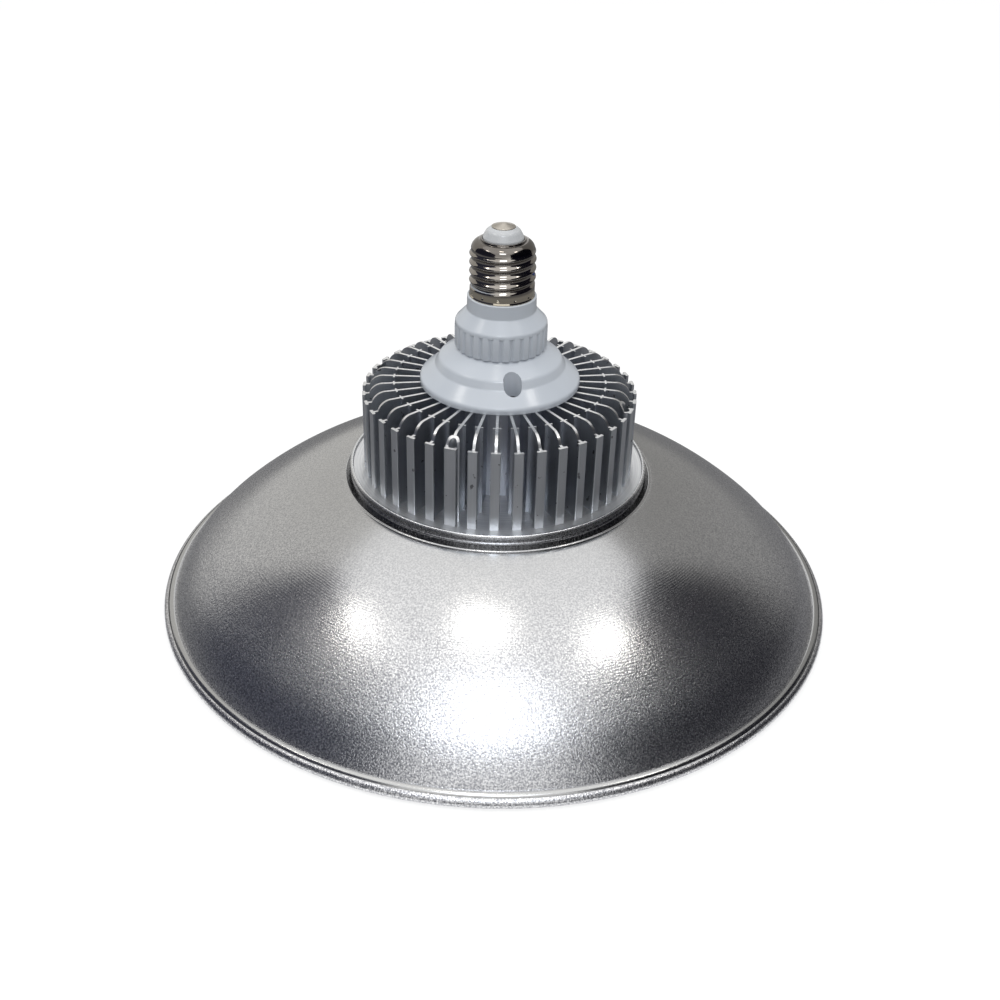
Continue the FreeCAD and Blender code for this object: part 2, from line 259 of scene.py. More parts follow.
def stepped_prism(bm, rows, low, high):
    """A closed upright prism along -Y from (radius, half width) rows. Two rows of one radius make a step."""
    left = [(-w, -r) for r, w in rows]
    right = [(w, -r) for r, w in rows]
    bottom, top = prism(bm, left + right[::-1], low, high)
    last = 2 * len(rows) - 1
    for ring in (bottom, top):
        for i in range(len(rows) - 1):
            if rows[i][0] == rows[i + 1][0]:
                continue
            near = [ring[last - i], ring[i]]
            if i > 0 and rows[i - 1][0] == rows[i][0] and rows[i - 1][1] < rows[i][1]:
                near = [ring[last - i], ring[last - i + 1], ring[i - 1], ring[i]]
            far = [ring[i + 1], ring[last - i - 1]]
            if i + 2 < len(rows) and rows[i + 2][0] == rows[i + 1][0] and rows[i + 2][1] < rows[i + 1][1]:
                far = [ring[i + 1], ring[i + 2], ring[last - i - 2], ring[last - i - 1]]
            bm.faces.new(near + far)


# ---------------------------------------------------------------- reflector shade
SHEET = 1.0
CURL_R = 2.3
ROLL_START, ROLL_END = 10, 255       # angles of the rim's roll
SHADE_HOLE_R = 50.4
SHADE_FLAT_R = 65.5
FLAT_ROW_R = 58.0                    # a ring of points under the plate, for even shading of the flat
FLAT_BEAD_AT = 64.6                  # distance of the flat's fine raised bead from the axis
FLAT_BEAD_R, FLAT_BEAD_SINK = 0.55, 0.3    # that bead's own radius, and how deep its centre lies
BEAD_AT, BEAD_LEVEL = RIM_R - 3.8, 3.6     # centre of the smooth bead between the bell and the rim
BEAD_R = 1.9
BEAD_START, BEAD_END = -38, 75       # angles of that bead
BELL_ARCS = ((7.5, 19.4, 6), (174.3, 23.0, 40), (63.0, 18.0, 16))   # radius, turn in degrees, steps


def flat_bead():
    """The fine bead on the flat: what stands out of an arc sunk in it."""
    half_turn = degrees(acos(FLAT_BEAD_SINK / FLAT_BEAD_R))
    return arc((FLAT_BEAD_AT, SHADE_TOP - FLAT_BEAD_SINK), FLAT_BEAD_R, -half_turn, half_turn, steps=8)


def bell_skin(depth, bead=()):
    """The shade's surface at a depth under its outside, from its hole to the end of the bell."""
    level = SHADE_TOP - depth
    line = [(SHADE_HOLE_R, level), (FLAT_ROW_R, level), *bead, (SHADE_FLAT_R, level)]
    slope = 0.0
    for radius, turn, steps in BELL_ARCS:
        centre = arc_centre(line[-1], radius - depth, slope)
        line += arc(centre, radius - depth, slope, slope + turn, steps)[1:]
        slope += turn
    return line


def reflector_shade():
    """The spun bell. Its sheet goes over a small step, out round the rim and back up to the inside."""
    outside = bell_skin(0, flat_bead())
    inside = bell_skin(SHEET)
    bead = arc((BEAD_AT, BEAD_LEVEL), BEAD_R, BEAD_START, BEAD_END, steps=14)
    roll = arc((RIM_R - CURL_R, CURL_R), CURL_R, ROLL_START, ROLL_END, steps=30)
    section = outside[:-1] + bead + roll + inside[::-1]
    return turned_piece("spun_shade", section, "reflector_shade", "spun_aluminium", sides=288, sharp=50)


# ---------------------------------------------------------------- base plate
LIP_INNER_R = 61.3
POCKET_R = 44.0
WIRE_HOLE_R = 5.0
PLATE_SIDE = (            # the plate's side: distance in from its radius, height over the shade, rounding
    (0.35, 3.5, 0.5),     # foot of the lip
    (0.75, 2.3, 0.5),     # hollow under the lip
    (0.1, 1.75, 0.5),     # top of the lower bead
    (0.15, 0.95, 0.5),    # foot of the lower bead
    (1.3, 0.5, 0.1),      # undercut
    (1.3, 0, 0),          # edge on the shade
)


def base_plate():
    """The turned plate: a raised lip, a hollow side with a bead and an undercut where it meets the shade."""
    section = filleted([
        (WIRE_HOLE_R, PLATE_FLOOR, 0.3),
        (LIP_INNER_R, PLATE_FLOOR, 0.25),
        (LIP_INNER_R, LIP_TOP, 0.3),
        (PLATE_R, LIP_TOP, 0.55),
        *[(PLATE_R - inset, SHADE_TOP + height, rounding) for inset, height, rounding in PLATE_SIDE],
        (POCKET_R, SHADE_TOP, 0.2),
        (POCKET_R, POCKET_TOP, 0.3),
        (WIRE_HOLE_R, POCKET_TOP, 0.3),
    ])
    return turned_piece("turned_plate", section, "base_plate", "turned_aluminium", sides=256, sharp=40)


# ---------------------------------------------------------------- heat sink
FIN_COUNT = 40
FIN_WEB = 1.1
FIN_TEE_W = 3.8
FIN_TEE_T = 1.3
FIN_TEE_TOP = FIN_TOP - 4.1
RIB_R, RIB_W, RIB_T = 43.5, 3.2, 0.7       # the short rib across each web
HUB_R, HUB_BORE_R = 30.0, 27.2
WEB_ROOT = 0.6            # how far a web goes into the hub
TURNED_R = 48.0           # where the fin tops start to curve down
TURNED_CORNER = 5.9       # radius of that curve
CHANNEL_FIN, CHANNEL_COUNT = -2, 4
CHANNEL_R = 53.6
CHANNEL_WALL_R, CHANNEL_BORE_R = 2.65, 1.65
CHANNEL_ROOT = 0.2        # how far a web goes into a channel's wall
CHANNEL_TEE_W = 4.8
CHANNEL_SLOT = 1.2
CHANNEL_STEPS = 40
TEE_FILLET = 0.22
CURVE_STEP = 0.35
SEAM = 0.02               # step that keeps two faces of one level apart


def lathe_cut(x, y):
    """Height that the lathe leaves the fins at."""
    run = hypot(x, y) - TURNED_R
    if run <= 0:
        return FIN_TOP
    if run >= TURNED_CORNER:
        return FIN_TEE_TOP
    return max(FIN_TEE_TOP, FIN_TOP - TURNED_CORNER + sqrt(TURNED_CORNER ** 2 - run ** 2))


def below_cut(x, y):
    """A level just under the lathe's, for what lies inside a neighbour."""
    return lathe_cut(x, y) - SEAM


def web_rows(end):
    """Half widths of a fin's web, with its rib, close together where its top curves down."""
    half = FIN_WEB / 2
    inner, outer = RIB_R - RIB_T / 2, RIB_R + RIB_T / 2
    rows = [(HUB_R - WEB_ROOT, half), (inner, half), (inner, RIB_W / 2), (outer, RIB_W / 2), (outer, half)]
    count = int((end - TURNED_R) / CURVE_STEP)
    rows += [(TURNED_R + CURVE_STEP * i, half) for i in range(count)]
    return rows + [(end, half)]


def tee_rows(width):
    """Half widths of the T at a fin's end, with its corners rounded."""
    half = width / 2
    root = FIN_OUTER_R - FIN_TEE_T
    rows = [(root, half - TEE_FILLET), (root + TEE_FILLET, half)]
    return rows + [(FIN_OUTER_R - TEE_FILLET, half), (FIN_OUTER_R, half - TEE_FILLET)]


def screw_channel(bm):
    """A C-shaped wall behind the T of a fin along -Y, open to one side."""
    opening = degrees(asin(CHANNEL_SLOT / 2 / CHANNEL_BORE_R))
    angles = [radians(opening + (360 - 2 * opening) * i / CHANNEL_STEPS) for i in range(CHANNEL_STEPS + 1)]
    outer = [(CHANNEL_WALL_R * cos(a), -CHANNEL_R + CHANNEL_WALL_R * sin(a)) for a in angles]
    inner = [(CHANNEL_BORE_R * cos(a), -CHANNEL_R + CHANNEL_BORE_R * sin(a)) for a in angles]
    strip_prism(bm, inner, outer, PLATE_FLOOR + SEAM, below_cut)


def fin(bm, azimuth, has_channel):
    """One fin: its web, rib and T, and a screw channel where it has one."""
    before = set(bm.verts)
    if has_channel:
        web_end = CHANNEL_R - CHANNEL_WALL_R + CHANNEL_ROOT
        stepped_prism(bm, web_rows(web_end), PLATE_FLOOR, lathe_cut)
        stepped_prism(bm, tee_rows(CHANNEL_TEE_W), PLATE_FLOOR, lathe_cut)
        screw_channel(bm)
    else:
        rows = web_rows(FIN_OUTER_R - FIN_TEE_T) + tee_rows(FIN_TEE_W)
        stepped_prism(bm, rows, PLATE_FLOOR, lathe_cut)
    made = [v for v in bm.verts if v not in before]
    bmesh.ops.rotate(bm, cent=(0, 0, 0), matrix=Matrix.Rotation(radians(azimuth), 3, "Z"), verts=made)


def heat_sink():
    """The extrusion: a hub, plain fins and four fins with screw channels, turned round on top."""
    bm = bmesh.new()
    hub_top = FIN_TOP - SEAM
    hub = [(HUB_BORE_R, PLATE_FLOOR), (HUB_R, PLATE_FLOOR), (HUB_R, hub_top), (HUB_BORE_R, hub_top)]
    lathe(bm, hub, sides=160)
    for i in range(FIN_COUNT):
        fin(bm, 360 * i / FIN_COUNT, (i - CHANNEL_FIN) % (FIN_COUNT // CHANNEL_COUNT) == 0)
    return piece("finned_extrusion", bm, "heat_sink", "extruded_aluminium", sharp=30)


# ---------------------------------------------------------------- cap housing
BASE_EDGE_TOP = FIN_TOP + 2.2        # top of the lower tier's upright edge
TIER_FOOT, TIER_FOOT_R = FIN_TOP + 7.5, 26.6
TIER_EDGE_TOP, TIER_EDGE_R = FIN_TOP + 10.7, 25.0
COLLAR_TOP, COLLAR_R = FIN_TOP + 16.0, 17.6      # where the grip ring starts
COLLAR_FOOT, COLLAR_FOOT_R = COLLAR_TOP - 0.5, COLLAR_R + 0.1
GRIP_TOP = COLLAR_TOP + 9.3
GRIP_R = 18.7
GRIP_RIBS = 28
GRIP_AZ = 1.4                        # azimuth of a groove
GROOVE_DEPTH = 0.75
GROOVE_HALF = 0.24                   # half a groove's width, as a share of the ribs' pitch
GROOVE_ROUND = 1.3                   # a higher power makes the groove's floor narrower
SIDES_PER_RIB = 14                   # faces from one rib to the next
GRIP_ROWS = (                        # distance in from the ring's radius, level, share of a groove's depth
    (0.25, COLLAR_TOP + 0.02, 1.0),
    (0.06, COLLAR_TOP + 0.1, 1.0),
    (0.0, COLLAR_TOP + 0.35, 1.0),
    (0.0, GRIP_TOP - 0.5, 1.0),
    (0.1, GRIP_TOP - 0.15, 0.85),
)
SHOULDER_TOP, SHOULDER_R = GRIP_TOP + 1.3, GRIP_R - 0.2
NECK_R = 13.8
NECK_FOOT, NECK_FOOT_R = SKIRT_BOTTOM - 5.8, NECK_R + 0.1
NECK_EASE_W, NECK_EASE_H = 0.35, 0.3       # eased edge at the top of the neck
SPIGOT_R = 12.6
NECK_BORE_R = 10.8
HOUSING_BORE_R, HOUSING_BORE_TOP = 14.5, FIN_TOP + 24.7
ACCESS_R = 3.7                       # bore that lets a screwdriver reach a screw
ACCESS_FLOOR = FIN_TOP + 1.6
PORT_AZ, PORT_R = 12.3, 25.0         # place of the first housing screw
HOUSING_SHARP = 40


def grooved(radius, share):
    """A rule for a radius on the grip ring: broad ribs with narrow round grooves between them."""
    def radius_at(azimuth, z):
        phase = abs(((azimuth - GRIP_AZ) * GRIP_RIBS / 360 + 0.5) % 1.0 - 0.5)
        depth = cos(pi / 2 * min(1.0, phase / GROOVE_HALF)) ** GROOVE_ROUND
        return radius - GROOVE_DEPTH * share * depth
    return radius_at


def housing_section():
    """The housing from its foot round its outside and down its bore."""
    tiers = filleted([
        (HOUSING_BORE_R, FIN_TOP, 0),
        (BASE_R, FIN_TOP, 0.2),
        (BASE_R, BASE_EDGE_TOP, 2.0),
        (TIER_FOOT_R, TIER_FOOT, 2.4),
        (TIER_EDGE_R, TIER_EDGE_TOP, 3.2),
        (COLLAR_FOOT_R, COLLAR_FOOT, 1.0),
        (COLLAR_R, COLLAR_TOP, 0.1),
    ], steps=9)
    grip = [(grooved(GRIP_R - inset, share), level) for inset, level, share in GRIP_ROWS]
    shoulder = filleted([
        (GRIP_R - 0.12, GRIP_TOP, 0),
        (SHOULDER_R, SHOULDER_TOP, 1.9),
        (NECK_FOOT_R, NECK_FOOT, 0.9),
        (NECK_R, SKIRT_BOTTOM - NECK_EASE_H, 0),
    ], steps=10)
    neck = [
        (NECK_R - NECK_EASE_W, SKIRT_BOTTOM - NECK_EASE_H / 5),
        (SPIGOT_R, SKIRT_BOTTOM),
        (SPIGOT_R, SPIGOT_TOP),
        (NECK_BORE_R, SPIGOT_TOP),
        (NECK_BORE_R, HOUSING_BORE_TOP),
        (HOUSING_BORE_R, HOUSING_BORE_TOP),
    ]
    return tiers + grip + shoulder + neck


def cut_out(obj, cutters, sharp):
    """Cuts closed meshes out of a piece and applies the cuts."""
    for cutter in cutters:
        modifier = obj.modifiers.new("cut", "BOOLEAN")
        modifier.object = cutter
        modifier.solver = "EXACT"
    depsgraph = bpy.context.evaluated_depsgraph_get()
    result = bpy.data.meshes.new_from_object(obj.evaluated_get(depsgraph))
    bm = bmesh.new()
    bm.from_mesh(result)
    shade_by_angle(bm, sharp)
    bm.to_mesh(result)
    bm.free()
    obj.modifiers.clear()
    obj.data = result
    for cutter in cutters:
        bpy.data.objects.remove(cutter)


def access_cutter(azimuth):
    """What is cut out of the housing for a screwdriver."""
    bm = bmesh.new()
    rod(bm, at(azimuth, PORT_R), ACCESS_R, ACCESS_FLOOR, COLLAR_TOP, sides=48)
    return to_object("cutter", bm, HOUSING_SHARP)


def cap_housing():
    """The grey moulding: two tiers, a fluted grip ring, a shoulder, a neck and two screwdriver bores."""
    bm = bmesh.new()
    lathe(bm, housing_section(), sides=GRIP_RIBS * SIDES_PER_RIB)
    body = piece("moulded_housing", bm, "cap_housing", "grey_plastic", HOUSING_SHARP)
    cut_out(body, [access_cutter(PORT_AZ), access_cutter(PORT_AZ + 180)], HOUSING_SHARP)
    return body


# ---------------------------------------------------------------- E27 cap
SHELL_SHEET = 0.35
SHELL_BAND_R = 12.9       # the plain band under the thread
SHELL_TOP_R = 12.55       # the wall over the thread
SHELL_LIP = (             # the lip at the shell's lower edge: (r, height over that edge)
    (SHELL_BAND_R - 0.3, 0.0),
    (SHELL_BAND_R + 0.2, 0.0),
    (SHELL_R, 0.15),
    (SHELL_R, 0.35),
    (SHELL_BAND_R + 0.05, 0.65),
)
BAND_FOOT, BAND_STEP, BAND_ROWS = SKIRT_BOTTOM + 0.9, 0.25, 8
STAKE_COUNT, STAKE_AZ = 12, -5.5     # punch marks that stake the shell to the neck
STAKE_LEVEL = SKIRT_BOTTOM + 1.8
STAKE_HALF_W, STAKE_HALF_H, STAKE_DEPTH = 0.55, 0.45, 0.35
THREAD_PITCH = 3.63
THREAD_DEPTH = 1.05
THREAD_SHARPNESS = 0.12              # narrows the crests and flattens the troughs
THREAD_CREST = SKIRT_BOTTOM + 7.0    # height of a crest at azimuth 0
THREAD_CREST_R = SHELL_R - 0.06      # radius of the crests before they are sharpened
THREAD_START, THREAD_FULL = SKIRT_BOTTOM + 3.7, SKIRT_BOTTOM + 5.4      # where it comes in, at azimuth 0
THREAD_FADE, THREAD_END = SKIRT_BOTTOM + 17.7, SKIRT_BOTTOM + 19.5      # where it runs out
WALL_FOOT, WALL_TOP, WALL_STEPS = SKIRT_BOTTOM + 3.0, SKIRT_BOTTOM + 19.1, 72
TAPER_FOOT = SKIRT_BOTTOM + 13.5     # from here up the wall draws in from the band's radius to the top's
DOME_R, DOME_FOOT = 3.6, INSULATOR_FOOT - 4.4
DOME_END = 12             # angle at which the dome's arc meets the lip
TOP_LIP = (               # the lip round the insulator: distance out from it, level, rounding
    (0.75, DOME_FOOT + DOME_R, 0.2),
    (0.7, INSULATOR_FOOT - 0.03, 0.2),
    (0.1, INSULATOR_FOOT - 0.03, 0.2),
    (0, INSULATOR_FOOT - 0.25, 0.1),
    (-0.1, INSULATOR_FOOT - 1.5, 0),
)


def thread_radius(azimuth, z):
    """Radius of the threaded wall: a right-handed rolled thread that fades out at both ends."""
    lead = THREAD_PITCH * azimuth / 360
    turns = (z - THREAD_CREST - lead) / THREAD_PITCH
    wave = cos(2 * pi * turns) + THREAD_SHARPNESS * cos(4 * pi * turns)
    threaded = THREAD_CREST_R + (wave - 1) * THREAD_DEPTH / 2
    fade_in = smooth_step(z - lead, THREAD_START, THREAD_FULL)
    fade_out = 1 - smooth_step(z, THREAD_FADE, THREAD_END)
    plain = SHELL_BAND_R + (SHELL_TOP_R - SHELL_BAND_R) * smooth_step(z, TAPER_FOOT, THREAD_END)
    return plain + (threaded - plain) * fade_in * fade_out


def staked_radius(azimuth, z):
    """Radius of the plain band, with a row of shallow punch marks round it."""
    spacing = 360 / STAKE_COUNT
    off = radians((((azimuth - STAKE_AZ) / spacing + 0.5) % 1.0 - 0.5) * spacing)
    span = hypot(off * SHELL_R / STAKE_HALF_W, (z - STAKE_LEVEL) / STAKE_HALF_H)
    return SHELL_BAND_R - STAKE_DEPTH * max(0.0, 1 - span ** 2)


def shell_top():
    """The shell's domed top, from the wall in to the lip round the insulator."""
    dome = arc((SHELL_TOP_R - DOME_R, DOME_FOOT), DOME_R, 90, DOME_END, steps=14)
    lip = [(INSULATOR_R + out, level, rounding) for out, level, rounding in TOP_LIP]
    rounded = filleted([(*dome[-1], 0), *lip], steps=5)
    return [(r, z) for r, z in dome if z > WALL_TOP] + rounded[1:]


def screw_shell():
    """The nickel-plated shell: a lip, a staked band, the rolled thread and a domed top."""
    lip = [(r, SKIRT_BOTTOM + height) for r, height in SHELL_LIP]
    band = [(staked_radius, BAND_FOOT + BAND_STEP * i) for i in range(BAND_ROWS)]
    wall_step = (WALL_TOP - WALL_FOOT) / WALL_STEPS
    wall = [(thread_radius, WALL_FOOT + wall_step * i) for i in range(WALL_STEPS + 1)]
    bm = bmesh.new()
    lathe(bm, lip + band + wall + shell_top(), sides=240, first=-180, closed=False)
    shell = piece("threaded_shell", bm, "screw_shell", "nickel_shell", sharp=60)
    sheet = shell.modifiers.new("sheet", "SOLIDIFY")
    sheet.thickness = SHELL_SHEET * MM
    sheet.offset = -1
    return shell


INSULATOR_BORE_R = 2.0
INSULATOR_ROOT = 1.4      # how far the insulator goes down into the shell
TAPER_TOP, TAPER_TOP_R = CONTACT_FOOT - 1.15, CONTACT_R + 1.9     # where its taper rounds over to the contact
CONTACT_EDGE = 0.3        # height of the contact's edge
POINT_R, POINT_DROP = 1.0, 0.08      # the contact's shallow point


def cap_insulator():
    """The white insulator: a rounded shoulder and a straight taper."""
    section = filleted([
        (INSULATOR_BORE_R, INSULATOR_FOOT - INSULATOR_ROOT, 0),
        (INSULATOR_R - 0.15, INSULATOR_FOOT - INSULATOR_ROOT, 0),
        (INSULATOR_R - 0.12, INSULATOR_FOOT + 0.5, 1.0),
        (TAPER_TOP_R, TAPER_TOP, 3.5),
        (CONTACT_R + 0.25, CONTACT_FOOT - 0.02, 0.5),
        (CONTACT_R - 0.4, CONTACT_FOOT + 0.02, 0),
        (INSULATOR_BORE_R, CONTACT_FOOT, 0),
    ], steps=8)
    return turned_piece("insulator_cone", section, "cap_insulator", "white_insulator", sides=144, sharp=50)


def centre_contact():
    """The contact: a thin disc with a shallow point and a rolled edge."""
    section = filleted([
        (0, CONTACT_FOOT, 0),
        (CONTACT_R, CONTACT_FOOT, 0.12),
        (CONTACT_R, CONTACT_FOOT + CONTACT_EDGE, 0.15),
        (POINT_R, CAP_TIP - POINT_DROP, 1.2),
        (0, CAP_TIP, 0),
    ], steps=5)
    return turned_piece("contact_disc", section, "centre_contact", "contact_metal", sides=96, sharp=40)


# ---------------------------------------------------------------- screws and lens
HOUSING_HEAD_R, HOUSING_HEAD_H = 2.8, 1.9
SHANK_R = 1.45
CLAMP_HEAD_R, CLAMP_HEAD_H = 2.7, 1.7
HEAD_SIDES = 64
HEAD_EDGE = 0.62          # radius of a head's rounded edge, as a share of its height
HEAD_FACE = 0.66          # radius of the ring round the recess, as a share of the head's
HEAD_GAP = 0.02           # gap that keeps a head's seat and its neighbour's face apart
CROSS_W, CROSS_DEPTH = 0.9, 1.1
CROSS_ARM = 0.6           # reach of the cross, as a share of the head's radius
CROSS_TIP = 0.7           # width of an arm's tip, as a share of its root's
CROSS_FLOOR = 0.45        # size of the recess's floor, as a share of its rim's
LENS_RIM_W, LENS_RIM_STEP = 1.7, 0.35      # the thinner rim of the lens, and how much thinner it is
LENS_RIM_SLOPE = 0.5                 # width of the slope down to that rim


def pan_head(bm, centre, radius, height, direction):
    """A pan head with a cross recess. It stands on its centre and points up, with 1, or down, with -1."""
    def ring(outline, z):
        return [bm.verts.new((centre.x + x, centre.y + y, centre.z + direction * z)) for x, y in outline]
    turns = [2 * pi * i / HEAD_SIDES for i in range(HEAD_SIDES)]
    edge_r = HEAD_EDGE * height
    section = [(radius, 0.0)] + arc((radius - edge_r, height - edge_r), edge_r, 90, 0, steps=6)
    section.append((radius * HEAD_FACE, height))
    rings = [ring([(r * cos(a), r * sin(a)) for a in turns], z) for r, z in section]
    skin(bm, rings)
    arm, half = radius * CROSS_ARM, CROSS_W / 2
    outline = []
    for quarter in range(4):
        c, s = cos(quarter * pi / 2), sin(quarter * pi / 2)
        for x, y in ((half, -half), (arm, -half * CROSS_TIP), (arm, half * CROSS_TIP)):
            outline.append((x * c - y * s, x * s + y * c))
    rim = ring(outline, height)
    floor = ring([(x * CROSS_FLOOR, y * CROSS_FLOOR) for x, y in outline], height - CROSS_DEPTH)
    skin(bm, [rim, floor])
    bm.faces.new(floor)
    edges = []
    for loop in (rings[-1], rim):
        for ends in zip(loop, loop[1:] + loop[:1]):
            edges.append(bm.edges.get(ends) or bm.edges.new(ends))
    bmesh.ops.triangle_fill(bm, edges=edges, use_beauty=True)
    bm.faces.new(rings[0][::-1])


def housing_screws():
    """The two screws at the feet of the housing's bores."""
    bm = bmesh.new()
    for azimuth in (PORT_AZ, PORT_AZ + 180):
        centre = at(azimuth, PORT_R, ACCESS_FLOOR + HEAD_GAP)
        pan_head(bm, centre, HOUSING_HEAD_R, HOUSING_HEAD_H, 1)
        rod(bm, centre, SHANK_R, SCREW_FOOT, ACCESS_FLOOR, sides=32)
    return piece("pan_head_screws", bm, "housing_screws", "screw_steel", sharp=40)


def clamp_screws():
    """Four small screws through lens, shade and plate into the heat sink's channels: heads under the lens."""
    bm = bmesh.new()
    for i in range(CHANNEL_COUNT):
        azimuth = CHANNEL_FIN * 360 / FIN_COUNT + 360 * i / CHANNEL_COUNT
        pan_head(bm, at(azimuth, CHANNEL_R, LENS_FOOT - HEAD_GAP), CLAMP_HEAD_R, CLAMP_HEAD_H, -1)
    return piece("clamp_screws", bm, None, "screw_steel", sharp=40)


def lens():
    """The frosted disc, with a fine step round its edge."""
    section = filleted([
        (0, LENS_FOOT, 0),
        (LENS_R - LENS_RIM_W - LENS_RIM_SLOPE, LENS_FOOT, 0.3),
        (LENS_R - LENS_RIM_W, LENS_FOOT + LENS_RIM_STEP, 0.2),
        (LENS_R, LENS_FOOT + LENS_RIM_STEP, 0.3),
        (LENS_R, LENS_TOP, 0.15),
        (0, LENS_TOP, 0),
    ])
    return turned_piece("frosted_disc", section, "lens", "frosted_lens", sides=192, sharp=40)


# ---------------------------------------------------------------- nodes of the materials
MIX_SHARE, MIX_LOW, MIX_HIGH, MIX_RESULT = 0, 6, 7, 2      # sockets of a Mix node that mixes colours


def add(tree, kind, inputs, **settings):
    """Adds a node. An input is a plain value or another node's output."""
    node = tree.nodes.new("ShaderNode" + kind)
    for name, value in settings.items():
        setattr(node, name, value)
    for name, value in inputs.items():
        if isinstance(value, bpy.types.NodeSocket):
            tree.links.new(value, node.inputs[name])
        else:
            node.inputs[name].default_value = value
    return node


def maths(tree, operation, first, second=0.5, third=0.5):
    """The result of a Math node."""
    return add(tree, "Math", {0: first, 1: second, 2: third}, operation=operation).outputs[0]


def spread(tree, value, from_low, from_high, to_low, to_high):
    """A value carried from one range to another, and held at its ends."""
    ranges = {"From Min": from_low, "From Max": from_high, "To Min": to_low, "To Max": to_high}
    return add(tree, "MapRange", {"Value": value, **ranges}).outputs[0]


def place(tree):
    """A point's place on the object, in metres."""
    return add(tree, "TexCoord", {}).outputs["Object"]


def parts_of(tree, vector):
    """The X, Y and Z of a vector."""
    return add(tree, "SeparateXYZ", {0: vector}).outputs


def axis_distance(tree):
    """Distance from the axis, in metres."""
    parts = parts_of(tree, place(tree))
    flat = add(tree, "CombineXYZ", {"X": parts["X"], "Y": parts["Y"]}).outputs[0]
    return add(tree, "VectorMath", {0: flat}, operation="LENGTH").outputs["Value"]


def by_distance(tree, start, end, low, high):
    """A value that goes from low to high between two distances from the axis, in millimetres."""
    return spread(tree, axis_distance(tree), start * MM, end * MM, low, high)


def by_height(tree, start, end, low, high):
    """A value that goes from low to high between two heights, in millimetres."""
    return spread(tree, parts_of(tree, place(tree))["Z"], start * MM, end * MM, low, high)


def facing_up(tree):
    """1 where the surface faces up and 0 where it is upright or faces down."""
    normal = add(tree, "TexCoord", {}).outputs["Normal"]
    return spread(tree, parts_of(tree, normal)["Z"], 0.25, 0.6, 0.0, 1.0)


def ring_place(tree, across, around):
    """A place counted in rings about the axis, for marks that a lathe leaves.

    It is the distance from the axis and the height, both times one scale, and the angle times another.
    """
    parts = parts_of(tree, place(tree))
    distance = maths(tree, "MULTIPLY", axis_distance(tree), across)
    height = maths(tree, "MULTIPLY", parts["Z"], across)
    angle = maths(tree, "MULTIPLY", maths(tree, "ARCTAN2", parts["Y"], parts["X"]), around)
    return add(tree, "CombineXYZ", {"X": distance, "Y": height, "Z": angle}).outputs[0]


def noise(tree, vector, scale, detail=2.0, roughness=0.5):
    """A noise value between 0 and 1."""
    inputs = {"Vector": vector, "Scale": scale, "Detail": detail, "Roughness": roughness}
    return add(tree, "TexNoise", inputs).outputs[0]


def blend(tree, share, low, high):
    """A colour between two colours, which are plain or another node's output."""
    low, high = [tone if isinstance(tone, bpy.types.NodeSocket) else (*tone, 1.0) for tone in (low, high)]
    inputs = {MIX_SHARE: share, MIX_LOW: low, MIX_HIGH: high}
    return add(tree, "Mix", inputs, data_type="RGBA").outputs[MIX_RESULT]


def bump(tree, height, strength, depth_mm, under=None):
    """A bumped normal, on top of another where one is given."""
    inputs = {"Height": height, "Strength": strength, "Distance": depth_mm * MM}
    if under:
        inputs["Normal"] = under
    return add(tree, "Bump", inputs).outputs[0]


def surface(name, metallic=0.0, **constants):
    """A new material and its Principled shader."""
    material = bpy.data.materials.new(name)
    material.use_nodes = True
    shader = material.node_tree.nodes["Principled BSDF"]
    shader.inputs["Metallic"].default_value = metallic
    for socket, value in constants.items():
        shader.inputs[socket.replace("_", " ")].default_value = value
    return material, material.node_tree, shader


def finish_with(tree, shader, colour, roughness, normal):
    """Links a material's colour, roughness and normal to its shader."""
    tree.links.new(colour, shader.inputs["Base Color"])
    tree.links.new(roughness, shader.inputs["Roughness"])
    tree.links.new(normal, shader.inputs["Normal"])


# ---------------------------------------------------------------- materials
SPIN_PITCH = 0.90         # spacing of the shade's spinning marks along the radius
SPIN_WANDER = 1.6         # how far the marks stray
# Distances from the axis between which the shade's finish changes
GRAIN_START, GRAIN_END = 72.0, 128.0       # its grain's contrast grows
COARSE_START, COARSE_END = 96.0, 122.0     # its grain gets deeper
MARKS_START, MARKS_FULL = 78.0, 94.0       # its marks come in
MARKS_FADE, MARKS_END = 112.0, 130.0       # its marks go out again
BEAD_PLAIN_IN, BEAD_PLAIN_OUT = BEAD_AT - 1.5, BEAD_AT + 1.8       # the bead between them has no grain


